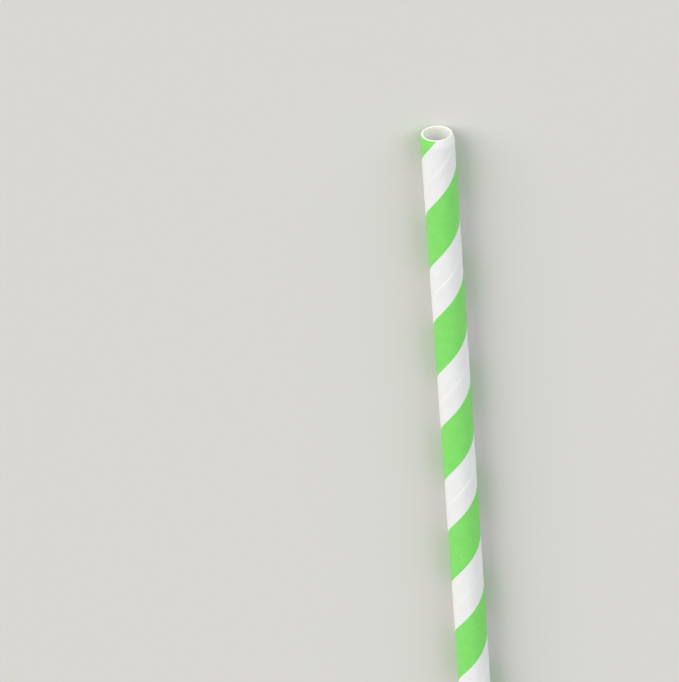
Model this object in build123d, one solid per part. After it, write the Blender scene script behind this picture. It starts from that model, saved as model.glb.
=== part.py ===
from build123d import *
import math
import os

# Paper drinking straw, a spirally wound paper tube, lying on a table. Millimetres.
# Frame: +X runs along the straw to the mouth seen in the photo, +Z is up,
# and the origin is on the table under the middle of the straw.

# Straw sizes
straw_length = 197.0
outer_radius = 3.0
wall_thickness = 0.4

# The knife crushes each cut end inwards a little, over a short length
mouth_outer_radius = 2.77
crush_length = 1.2
rim_edge_radius = 0.06

# The wound paper is pressed flat a little along the line that it lies on, so it doesn't roll
resting_flat_width = 1.3

# Worked out from the sizes above
half_length = straw_length / 2
inner_radius = outer_radius - wall_thickness
shoulder_x = half_length - crush_length
crush_depth = outer_radius - mouth_outer_radius
outer_crush_arc = (crush_length**2 + crush_depth**2) / (2 * crush_depth)
inner_crush_arc = outer_crush_arc - wall_thickness
crush_centre_r = outer_radius - outer_crush_arc
axis_height = math.sqrt(outer_radius**2 - (resting_flat_width / 2) ** 2)


def crush_point(arc_radius, distance):
    """Point on a crush arc, given its distance along X from the shoulder."""
    return (shoulder_x + distance, crush_centre_r + math.sqrt(arc_radius**2 - distance**2))


def mirrored(point):
    """The same point at the other end of the straw."""
    return (-point[0], point[1])


# Ends and middles of the arcs at the +X mouth
outer_rim = crush_point(outer_crush_arc, crush_length)
outer_middle = crush_point(outer_crush_arc, crush_length / 2)
inner_rim = crush_point(inner_crush_arc, crush_length)
inner_middle = crush_point(inner_crush_arc, crush_length / 2)
outer_shoulder = (shoulder_x, outer_radius)
inner_shoulder = (shoulder_x, inner_radius)

# Section of the wall, on one side of the straw's axis
with BuildSketch(Plane.XZ) as wall_section:
    with BuildLine():
        Line(mirrored(outer_shoulder), outer_shoulder)
        ThreePointArc(outer_shoulder, outer_middle, outer_rim)
        Line(outer_rim, inner_rim)
        ThreePointArc(inner_rim, inner_middle, inner_shoulder)
        Line(inner_shoulder, mirrored(inner_shoulder))
        ThreePointArc(mirrored(inner_shoulder), mirrored(inner_middle), mirrored(inner_rim))
        Line(mirrored(inner_rim), mirrored(outer_rim))
        ThreePointArc(mirrored(outer_rim), mirrored(outer_middle), mirrored(outer_shoulder))
    make_face()
    rim_corners = wall_section.vertices().filter_by_position(Axis.X, -half_length, -half_length)
    rim_corners += wall_section.vertices().filter_by_position(Axis.X, half_length, half_length)
    fillet(rim_corners, radius=rim_edge_radius)

# The tube: the section turned once round the axis
round_tube = revolve(wall_section.sketch, axis=Axis.X, revolution_arc=360)

# The resting flat: a block up to its height takes away the round's lowest strip
block_depth = outer_radius
block_top = (Align.CENTER, Align.CENTER, Align.MAX)
block = Box(straw_length, 2 * outer_radius, block_depth, align=block_top)
rested_tube = round_tube - Pos(0, 0, -axis_height) * block

# The straw laid on the table
straw_tube = Pos(0, 0, axis_height) * rested_tube

os.makedirs("parts", exist_ok=True)
export_step(straw_tube, "parts/straw_tube.step")
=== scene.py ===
# A striped paper drinking straw, wound from strips of paper, lying on a pale floor.
# Metres. +X runs along the straw to the mouth that the camera looks at, and +Z is up.
import bmesh
import bpy
import math
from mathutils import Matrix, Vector


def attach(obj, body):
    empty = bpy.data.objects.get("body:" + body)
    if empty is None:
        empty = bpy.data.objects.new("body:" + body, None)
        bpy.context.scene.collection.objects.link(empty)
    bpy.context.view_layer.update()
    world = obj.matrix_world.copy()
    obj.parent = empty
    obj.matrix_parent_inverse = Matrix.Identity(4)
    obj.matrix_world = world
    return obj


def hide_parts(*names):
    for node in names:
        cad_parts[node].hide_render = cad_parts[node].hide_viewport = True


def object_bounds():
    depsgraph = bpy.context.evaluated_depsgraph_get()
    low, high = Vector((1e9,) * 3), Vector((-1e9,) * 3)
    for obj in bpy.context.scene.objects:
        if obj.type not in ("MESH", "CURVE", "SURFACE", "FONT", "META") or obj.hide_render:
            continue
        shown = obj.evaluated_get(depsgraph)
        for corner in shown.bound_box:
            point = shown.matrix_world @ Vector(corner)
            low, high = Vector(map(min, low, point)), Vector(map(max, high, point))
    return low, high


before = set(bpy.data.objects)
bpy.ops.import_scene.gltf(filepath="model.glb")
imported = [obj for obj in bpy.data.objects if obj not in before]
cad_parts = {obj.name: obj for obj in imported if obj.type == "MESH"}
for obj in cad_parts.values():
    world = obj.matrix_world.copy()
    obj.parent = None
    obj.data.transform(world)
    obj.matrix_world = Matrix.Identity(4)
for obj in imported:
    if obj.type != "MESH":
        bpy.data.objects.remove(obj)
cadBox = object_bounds()

mm = 0.001
fullTurn = 2 * math.pi


def linkOrSet(tree, socket, value):
    if isinstance(value, Field):
        value = value.socket
    if isinstance(value, bpy.types.NodeSocket):
        tree.links.new(value, socket)
    else:
        socket.default_value = value


def addNode(tree, kind, inputs=None, **settings):
    node = tree.nodes.new(kind)
    for name, value in settings.items():
        setattr(node, name, value)
    for key, value in (inputs or {}).items():
        linkOrSet(tree, node.inputs[key], value)
    return node


class Field:                        # a number in a node tree, so that sums are written plainly
    def __init__(self, tree, socket):
        self.tree = tree
        self.socket = socket

    def calc(self, operation, *others):
        node = addNode(self.tree, "ShaderNodeMath", operation=operation)
        for socket, value in zip(node.inputs, (self, *others)):
            linkOrSet(self.tree, socket, value)
        return Field(self.tree, node.outputs[0])

    def __add__(self, other):
        return self.calc("ADD", other)

    def __sub__(self, other):
        return self.calc("SUBTRACT", other)

    def __rsub__(self, other):
        return self * -1 + other

    def __mul__(self, other):
        return self.calc("MULTIPLY", other)

    def __truediv__(self, other):
        return self.calc("DIVIDE", other)

    __radd__ = __add__
    __rmul__ = __mul__

    def atLeast(self, low):
        return self.calc("MAXIMUM", low)

    def atMost(self, high):
        return self.calc("MINIMUM", high)

    def size(self):
        return self.calc("ABSOLUTE")

    def ease(self, low, high):      # 0 below low, 1 above high, and smooth between
        node = addNode(self.tree, "ShaderNodeMapRange",
                       {"Value": self, "From Min": low, "From Max": high},
                       interpolation_type="SMOOTHSTEP")
        return Field(self.tree, node.outputs["Result"])

    def parted(self, softness):     # noise turned into patches of 0 and 1 with soft edges
        return self.ease(0.5 - softness, 0.5 + softness)


def vectorOf(tree, x, y, z):
    return addNode(tree, "ShaderNodeCombineXYZ", {"X": x, "Y": y, "Z": z}).outputs[0]


def noise(tree, place, scale, detail, seed, roughness=0.5):
    inputs = {"Vector": place, "W": seed, "Scale": scale, "Detail": detail, "Roughness": roughness}
    node = addNode(tree, "ShaderNodeTexNoise", inputs, noise_dimensions="4D")
    return Field(tree, node.outputs["Fac"])


# The tube's node tree: four sheets, outside, inside and the two cuts, bent round the axis and joined.
# The columns of every sheet follow the winding, so the lap keeps a clean edge.
# Each number in this dictionary is a named input of the tree.
tube = {
    "length": cadBox[1][0] - cadBox[0][0],
    "radius": 2.95 * mm,            # outside, between the laps; over a lap it is nearly 3 mm
    "boreRadius": 2.58 * mm,
    "mouthRadius": 2.66 * mm,       # outside, where the knife has crushed the cut end
    "mouthBoreRadius": 2.31 * mm,
    "crushLength": 1.6 * mm,
    "crushCurve": 1.3,              # 1 for a plain cone, more for a softer shoulder
    "mouthShift": 0.08 * mm,        # how far the knife pushed the mouth sideways
    "edgeRadius": 0.06 * mm,        # the soft corner of the cut paper
    "axisHeight": 2.9287 * mm,      # a little under the widest radius, so the straw rests flat
    "lead": 22.34 * mm,             # how far the winding climbs in one turn, with a right hand
    "lapPhase": 0.745,              # the outer strip's edge, in turns from the top of the mouth
    "lapEdge": 0.06 * mm,           # the step up onto the lap, which faces the mouth
    "lapWidth": 0.75 * mm,
    "lapSlope": 0.6 * mm,           # how softly the strip comes down behind its lap
    "lapHeight": 0.036 * mm,
    "innerLapHeight": 0.03 * mm,
    "lapPressed": 0.4,              # how much of the lap is pressed away in places
    "pressedSpan": 7.0 * mm,
    "pressedSoftness": 0.15,
    "pressedSeed": 12.0,
    "unevenness": 0.005 * mm,       # slight waves in the wound paper
    "waveSpan": 4.5 * mm,
    "waveSeed": 1555.5556,
    "fray": 0.03 * mm,              # how ragged the cuts are
    "fraySpots": 2.2,               # more for a finer fray
    "fraySeed": 7.0,
    "cutSkew": 0.10 * mm,           # how far one side of a cut falls short of square
    "plyLineDepth": 0.02 * mm,      # joints between the three strips, seen in the cuts
    "plyLineWidth": 0.03 * mm,
    "lapPart": 0.10,                # share of a turn that gets closely set columns
    "lapShare": 0.25,               # share of the columns that go there
    "endRows": 0.70,                # how much closer the rows stand at the ends
    "columns": 120,
    "outsideRows": 360,
    "insideRows": 240,
    "cutRows": 24,
    "seamGap": 0.0005 * mm,         # points of neighbouring sheets this close become one
}
girth = fullTurn * tube["radius"]
turnLength = math.hypot(tube["lead"], girth)
stripWidth = girth * tube["lead"] / turnLength
plyJoints = (1 / 3, 2 / 3)          # where the three strips meet, as shares of the wall


def woundTube():
    tree = bpy.data.node_groups.new("woundTube", "GeometryNodeTree")
    identifiers = {}
    for name, value in tube.items():
        kind = "NodeSocketInt" if isinstance(value, int) else "NodeSocketFloat"
        socket = tree.interface.new_socket(name=name, in_out="INPUT", socket_type=kind)
        identifiers[name] = socket.identifier
    tree.interface.new_socket(name="Geometry", in_out="OUTPUT", socket_type="NodeSocketGeometry")
    entry = addNode(tree, "NodeGroupInput")
    given = {name: Field(tree, entry.outputs[name]) for name in tube}
    sheetNames = list(sheetMaterials)

    # a flat grid, one metre square about the origin: x is the place along a sheet, y round the tube
    gridPlace = addNode(tree, "ShaderNodeSeparateXYZ",
                        {0: addNode(tree, "GeometryNodeInputPosition").outputs[0]})
    row = Field(tree, gridPlace.outputs["X"])
    column = Field(tree, gridPlace.outputs["Y"]) + 0.5
    lapShare, lapPart = given["lapShare"], given["lapPart"]
    inLap = (column / lapShare).atMost(1.0) * lapPart
    pastLap = (column - lapShare).atLeast(0.0) / (1 - lapShare) * (1 - lapPart)
    fromLap = inLap + pastLap       # share of the strip's width, going away from the mouth
    across = 1 - fromLap
    half = given["length"] / 2

    def turnAt(x):                  # how far round the tube this column is, 0 on top
        return ((x - half) / given["lead"] - given["lapPhase"] - across) * fullTurn

    def crush(x):                   # 0 along the tube, 1 at its ends
        share = (x.size() - half + given["crushLength"]) / given["crushLength"]
        return share.atLeast(0.0).atMost(1.0).calc("POWER", given["crushCurve"])

    def endOf(side):                # where the cut is, for the +X side or the -X side
        angle = across * fullTurn
        circle = vectorOf(tree, angle.calc("COSINE"), angle.calc("SINE"), side)
        ragged = noise(tree, circle, given["fraySpots"], detail=4.0, seed=given["fraySeed"], roughness=0.7)
        skew = (turnAt(half * side).calc("SINE") * 0.5 + 0.5) * given["cutSkew"]
        return (half - given["edgeRadius"] - ragged * given["fray"] - skew) * side

    def surfaceNoise(x, span, seed):
        turn = turnAt(x)
        reach = given["radius"] / span
        place = vectorOf(tree, x / span, turn.calc("COSINE") * reach, turn.calc("SINE") * reach)
        return noise(tree, place, 1.0, detail=1.0, seed=seed)

    def lapProfile(share):          # 1 on the lap, 0 beside it
        distance = share * stripWidth
        rise = distance.ease(0.0, given["lapEdge"])
        fall = distance.ease(given["lapWidth"], given["lapWidth"] + given["lapSlope"])
        return rise - fall

    def outsideRadius(x):
        plain = given["radius"] - (given["radius"] - given["mouthRadius"]) * crush(x)
        spots = surfaceNoise(x, given["pressedSpan"], given["pressedSeed"])
        pressed = spots.parted(given["pressedSoftness"]) * given["lapPressed"]
        lap = lapProfile(fromLap) * given["lapHeight"] * (1 - pressed)
        waves = (surfaceNoise(x, given["waveSpan"], given["waveSeed"]) - 0.5) * 2.0
        return plain + lap + waves * given["unevenness"] * (1 - crush(x))

    def insideRadius(x):            # the inner strip's lap is half a width away from the outer one's
        plain = given["boreRadius"] - (given["boreRadius"] - given["mouthBoreRadius"]) * crush(x)
        return plain - lapProfile((fromLap + 0.5).calc("FRACT")) * given["innerLapHeight"]

    def sheet(name, rows, x, radius):
        grid = addNode(tree, "GeometryNodeMeshGrid",
                       {"Size X": 1.0, "Size Y": 1.0,
                        "Vertices X": rows, "Vertices Y": given["columns"] + 1})
        turn = turnAt(x)
        shift = crush(x) * x.calc("SIGN") * given["mouthShift"]
        sideways = shift - turn.calc("SINE") * radius
        height = (turn.calc("COSINE") * radius + given["axisHeight"]).atLeast(0.0)
        bent = addNode(tree, "GeometryNodeSetPosition",
                       {"Geometry": grid.outputs["Mesh"], "Position": vectorOf(tree, x, sideways, height)})
        marked = addNode(tree, "GeometryNodeStoreNamedAttribute",
                         {"Geometry": bent.outputs[0], "Name": "sheet", "Value": sheetNames.index(name)},
                         data_type="INT", domain="FACE")
        return marked.outputs[0]

    def cut(side):                  # from the outside to the bore, with soft corners and the ply lines
        ends = endOf(side)
        outer = outsideRadius(ends)
        wall = outer - insideRadius(ends)
        depth = wall * (0.5 - ((row + 0.5) * math.pi).calc("COSINE") * 0.5)

        def corner(distance):
            short = (1 - distance / given["edgeRadius"]).atLeast(0.0)
            return 1 - (1 - short * short).atLeast(0.0).calc("SQRT")

        def plyLine(share):
            near = (depth - wall * share).size() / given["plyLineWidth"]
            return (1 - near).atLeast(0.0) * given["plyLineDepth"]

        back = (corner(depth) + corner(wall - depth) - 1) * given["edgeRadius"]
        for share in plyJoints:
            back += plyLine(share)
        return sheet("cut", given["cutRows"], ends - back * side, outer - depth)

    # outside and inside run from cut to cut, with rows closer together at the ends
    spread = row * 2 + (row * fullTurn).calc("SINE") * given["endRows"] / math.pi
    lengthwise = spread.size() * endOf(row.calc("SIGN"))
    sheets = [
        sheet("outside", given["outsideRows"], lengthwise, outsideRadius(lengthwise)),
        sheet("inside", given["insideRows"], lengthwise, insideRadius(lengthwise)),
        cut(1.0),
        cut(-1.0),
    ]

    joined = addNode(tree, "GeometryNodeJoinGeometry")
    for part in sheets:
        tree.links.new(part, joined.inputs[0])
    merged = addNode(tree, "GeometryNodeMergeByDistance",
                     {"Geometry": joined.outputs[0], "Distance": given["seamGap"]})
    smooth = addNode(tree, "GeometryNodeSetShadeSmooth", {"Geometry": merged.outputs[0]})
    last = addNode(tree, "GeometryNodeRealizeInstances", {"Geometry": smooth.outputs[0]}).outputs[0]
    number = addNode(tree, "GeometryNodeInputNamedAttribute", {"Name": "sheet"}, data_type="INT")
    for value, material in enumerate(sheetMaterials.values()):
        # the Compare node has several inputs called A and B, and 2 and 3 are the whole numbers
        chosen = addNode(tree, "FunctionNodeCompare", {2: number.outputs["Attribute"], 3: value},
                         data_type="INT", operation="EQUAL")
        last = addNode(tree, "GeometryNodeSetMaterial",
                       {"Geometry": last, "Selection": chosen.outputs[0], "Material": material}).outputs[0]
    output = addNode(tree, "NodeGroupOutput")
    tree.links.new(last, output.inputs[0])
    return tree, identifiers


# Paper and print. The print is one green band on each turn of the white strip.
paper = {
    "white": (0.835, 0.84, 0.845),
    "whiteThin": (0.79, 0.795, 0.80),       # where the fibres lie thinner
    "green": (0.175, 0.665, 0.10),
    "greenThin": (0.235, 0.725, 0.16),
    "bandStart": 0.264,             # share of the strip's width, from the edge away from the mouth
    "bandEnd": 0.767,
    "printBlur": 0.03 * mm,
    "printWander": 0.04 * mm,       # how far the band's edge strays
    "wanderSize": 0.4 * mm,         # how long its bends are
    "wanderSeed": 27.5,
    "cutWear": 0.14 * mm,           # bare paper where the knife has cracked the print
    "edgeFade": 1.2,                # the strip's bare edge, lighter partly as painted highlight, is gone this far out, in widths of its step
    "fibreLength": 1.4 * mm,
    "fibreWidth": 0.10 * mm,
    "grainSize": 0.16 * mm,
    "cloudSize": 2.2 * mm,
    "fibreThins": 0.35,             # how much each layer has to say in how thin the paper looks
    "grainThins": 0.25,
    "cloudThins": 0.40,
    "fibreSoftness": 0.15,
    "cloudSoftness": 0.20,
    "fibreRaises": 0.6,             # the fibres' share of the relief; the grain has the rest
    "seed": 3.0,
    "roughness": 0.50,
    "roughnessSpread": 0.12,
    "bump": 0.35,
    "bumpHeight": 0.010 * mm,
}


def newMaterial(name):
    material = bpy.data.materials.new(name)
    material.use_nodes = True
    tree = material.node_tree
    tree.nodes.clear()
    shader = addNode(tree, "ShaderNodeBsdfPrincipled")
    output = addNode(tree, "ShaderNodeOutputMaterial")
    tree.links.new(shader.outputs[0], output.inputs["Surface"])
    return material, tree, shader


def mixed(tree, amount, first, second):
    node = addNode(tree, "ShaderNodeMix", data_type="RGBA")
    # the Mix node's colours are inputs 6 and 7 and output 2
    linkOrSet(tree, node.inputs[0], amount)
    for socket, value in ((node.inputs[6], first), (node.inputs[7], second)):
        linkOrSet(tree, socket, (*value, 1.0) if isinstance(value, tuple) else value)
    return node.outputs[2]


def onStrip(tree):
    # where a point lies on the wound strip: metres from the nearer cut, along the strip and across it
    place = addNode(tree, "ShaderNodeSeparateXYZ",
                    {0: addNode(tree, "ShaderNodeTexCoord").outputs["Object"]})
    x, y, z = (Field(tree, socket) for socket in place.outputs)
    toCut = tube["length"] / 2 - x.size()
    angle = (y * -1).calc("ARCTAN2", z - tube["axisHeight"])
    turns = (x - tube["length"] / 2) / tube["lead"]
    across = (turns - angle / fullTurn - tube["lapPhase"]).calc("FRACT")
    along = turns * turnLength - (across + tube["lapPhase"]) * (girth ** 2 / turnLength)
    return toCut, along, across * stripWidth


def fibres(tree, along, across, seed):
    # how thin the paper is, from 0 to 1, and its relief
    def layer(length, width, layerSeed):
        place = vectorOf(tree, along / length, across / width, 0.0)
        return noise(tree, place, 1.0, detail=3.0, seed=layerSeed, roughness=0.6)

    fibre = layer(paper["fibreLength"], paper["fibreWidth"], seed)
    grain = layer(paper["grainSize"], paper["grainSize"], seed + 1)
    cloud = layer(paper["cloudSize"], paper["cloudSize"], seed + 2)
    thin = (fibre.parted(paper["fibreSoftness"]) * paper["fibreThins"]
            + grain.parted(paper["fibreSoftness"]) * paper["grainThins"]
            + cloud.parted(paper["cloudSoftness"]) * paper["cloudThins"])
    relief = fibre * paper["fibreRaises"] + grain * (1 - paper["fibreRaises"])
    return thin, relief


def roughen(tree, shader, relief, roughness, strength):
    spread = paper["roughnessSpread"]
    linkOrSet(tree, shader.inputs["Roughness"], relief * spread + (roughness - spread / 2))
    bump = addNode(tree, "ShaderNodeBump",
                   {"Strength": strength, "Distance": paper["bumpHeight"], "Height": relief})
    tree.links.new(bump.outputs[0], shader.inputs["Normal"])


def printedPaper():
    material, tree, shader = newMaterial("printedPaper")
    toCut, along, across = onStrip(tree)
    thin, relief = fibres(tree, along, across, paper["seed"])

    size = paper["wanderSize"]
    place = vectorOf(tree, along / size, across / size, 0.0)
    wander = noise(tree, place, 1.0, detail=3.0, seed=paper["wanderSeed"]) - 0.5
    edge = across + wander * paper["printWander"]
    blur = paper["printBlur"]
    start, end = (paper[key] * stripWidth for key in ("bandStart", "bandEnd"))
    band = edge.ease(start - blur, start + blur) - edge.ease(end - blur, end + blur)
    wear = paper["cutWear"]
    unworn = (toCut + (relief - 0.5) * wear).ease(wear / 2, wear)

    # the strip's own cut edge is bare paper on the step up onto the lap, and its lighter colour is also a
    # painted highlight that offsets the step's shade
    fromStep = ((stripWidth - across) / tube["lapEdge"] - 0.5).size()
    bareEdgeAndPaintedHighlight = 1 - fromStep.ease(0.5, paper["edgeFade"])
    white = mixed(tree, thin, paper["white"], paper["whiteThin"])
    # painted highlight: the bare edge is mixed in lighter than the white print, to offset the shade at the
    # step
    white = mixed(tree, bareEdgeAndPaintedHighlight, white, bare["cut"])
    green = mixed(tree, thin, paper["green"], paper["greenThin"])
    tree.links.new(mixed(tree, band * unworn, white, green), shader.inputs["Base Color"])
    roughen(tree, shader, relief, paper["roughness"], paper["bump"])
    return material


# Bare paper, inside and at the cuts
bare = {
    "inside": (0.905, 0.90, 0.86),
    "insideThin": (0.86, 0.855, 0.81),
    "insideSeed": 17.0,
    "cut": (0.85, 0.85, 0.835),
    "cutThin": (0.79, 0.79, 0.77),
    "cutSeed": 23.0,
    "fleckSize": 0.15 * mm,
    "roughness": 0.85,
    "bump": 0.5,
}


def barePaper():
    material, tree, shader = newMaterial("barePaper")
    _, along, across = onStrip(tree)
    thin, relief = fibres(tree, along, across, bare["insideSeed"])
    tree.links.new(mixed(tree, thin, bare["inside"], bare["insideThin"]), shader.inputs["Base Color"])
    roughen(tree, shader, relief, bare["roughness"], bare["bump"])
    return material


def cutPaper():
    # the cut shows fibres end on, so it is mottled in space and not along the strip
    material, tree, shader = newMaterial("cutPaper")
    place = addNode(tree, "ShaderNodeTexCoord").outputs["Object"]
    fleck = noise(tree, place, 1 / bare["fleckSize"], detail=3.0, seed=bare["cutSeed"])
    tree.links.new(mixed(tree, fleck, bare["cut"], bare["cutThin"]), shader.inputs["Base Color"])
    roughen(tree, shader, fleck, bare["roughness"], bare["bump"])
    return material


sheetMaterials = {
    "outside": printedPaper(),
    "inside": barePaper(),
    "cut": cutPaper(),
}
print("materials made")


def makeStraw():
    tree, identifiers = woundTube()
    host = bpy.data.objects.new("strawHost", bpy.data.meshes.new("strawHost"))
    bpy.context.scene.collection.objects.link(host)
    modifier = host.modifiers.new("woundTube", "NODES")
    modifier.node_group = tree
    for name, value in tube.items():
        modifier[identifiers[name]] = value
    evaluated = host.evaluated_get(bpy.context.evaluated_depsgraph_get())
    mesh = bpy.data.meshes.new_from_object(evaluated)
    host.modifiers.remove(modifier)
    bpy.data.objects.remove(host)

    mesh.name = "paperStraw"
    mesh.attributes.remove(mesh.attributes["sheet"])
    shell = bmesh.new()
    shell.from_mesh(mesh)
    bmesh.ops.recalc_face_normals(shell, faces=shell.faces)
    if shell.calc_volume(signed=True) < 0:
        bmesh.ops.reverse_faces(shell, faces=shell.faces)
    openEdges = sum(1 for edge in shell.edges if len(edge.link_faces) != 2)
    print("straw:", len(shell.faces), "faces,", openEdges, "open edges,",
          round(shell.calc_volume() / mm ** 3, 1), "cubic mm")
    shell.to_mesh(mesh)
    shell.free()

    straw = bpy.data.objects.new("paperStraw", mesh)
    bpy.context.scene.collection.objects.link(straw)
    return straw


straw = makeStraw()
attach(straw, "root")
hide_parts("straw_tube")
print("straw made")


# Floor, light and backdrop. Each sun shines from its own side, and is wide for soft shadows.
stage = {
    "floorSize": 12.0,
    "floor": (0.68, 0.67, 0.645),
    "floorRoughness": 0.9,
    "floorSpecular": 0.2,
    "backdrop": (0.73, 0.72, 0.69),
    "skyStrength": 0.36,
    "sunDegrees": 50.0,
    "suns": {
        "key": {"towards": (0.50, 0.68, 0.53), "strength": 2.28, "tint": (1.0, 0.98, 0.94)},
        "fill": {"towards": (0.50, -0.68, 0.53), "strength": 1.32, "tint": (0.93, 0.98, 1.0)},
        "front": {"towards": (0.85, 0.0, 0.53), "strength": 0.32, "tint": (1.0, 1.0, 1.0)},
    },
}


def makeFloor():
    reach = stage["floorSize"] / 2
    corners = [(-reach, -reach, 0), (reach, -reach, 0), (reach, reach, 0), (-reach, reach, 0)]
    mesh = bpy.data.meshes.new("floor")
    mesh.from_pydata(corners, [], [(0, 1, 2, 3)])
    floor = bpy.data.objects.new("floor", mesh)
    bpy.context.scene.collection.objects.link(floor)
    material, _, shader = newMaterial("paleFloor")
    shader.inputs["Base Color"].default_value = (*stage["floor"], 1.0)
    shader.inputs["Roughness"].default_value = stage["floorRoughness"]
    shader.inputs["Specular IOR Level"].default_value = stage["floorSpecular"]
    mesh.materials.append(material)


def makeSun(name, settings):
    light = bpy.data.lights.new(name, "SUN")
    light.energy = settings["strength"]
    light.color = settings["tint"]
    light.angle = math.radians(stage["sunDegrees"])
    lamp = bpy.data.objects.new(name, light)
    lamp.rotation_euler = Vector(settings["towards"]).to_track_quat("Z", "Y").to_euler()
    bpy.context.scene.collection.objects.link(lamp)


def makeSky():
    # the straw is lit by an even white sky, and the camera sees a pale backdrop
    world = bpy.data.worlds.new("sky")
    world.use_nodes = True
    tree = world.node_tree
    tree.nodes.clear()
    light = addNode(tree, "ShaderNodeBackground",
                    {"Color": (1.0, 1.0, 1.0, 1.0), "Strength": stage["skyStrength"]})
    backdrop = addNode(tree, "ShaderNodeBackground",
                       {"Color": (*stage["backdrop"], 1.0), "Strength": 1.0})
    rays = addNode(tree, "ShaderNodeLightPath").outputs
    seen = Field(tree, rays["Is Camera Ray"]) + Field(tree, rays["Is Glossy Ray"])
    seen = (seen + Field(tree, rays["Is Transmission Ray"])).atMost(1.0)
    both = addNode(tree, "ShaderNodeMixShader", {0: seen, 1: light.outputs[0], 2: backdrop.outputs[0]})
    output = addNode(tree, "ShaderNodeOutputWorld")
    tree.links.new(both.outputs[0], output.inputs["Surface"])
    bpy.context.scene.world = world


makeFloor()
makeSky()
for name, settings in stage["suns"].items():
    makeSun(name, settings)
print("stage made")


# The camera stands above and beyond the mouth, and is turned so that the mouth is up in the picture.
view = {
    "fromMouth": (397.074 * mm, 0.0, 685.899 * mm),
    "turnDegrees": (-32.5707, -0.9367, -94.0339),
    "lens": 243.86,                 # on a 36 mm sensor
}
camera = bpy.data.objects.new("camera", bpy.data.cameras.new("camera"))
camera.data.lens = view["lens"]
mouth = Vector((tube["length"] / 2, 0.0, tube["axisHeight"]))
camera.location = mouth + Vector(view["fromMouth"])
camera.rotation_euler = [math.radians(turn) for turn in view["turnDegrees"]]
bpy.context.scene.collection.objects.link(camera)
bpy.context.scene.camera = camera
bpy.context.scene.view_settings.view_transform = "Standard"
print("camera set")
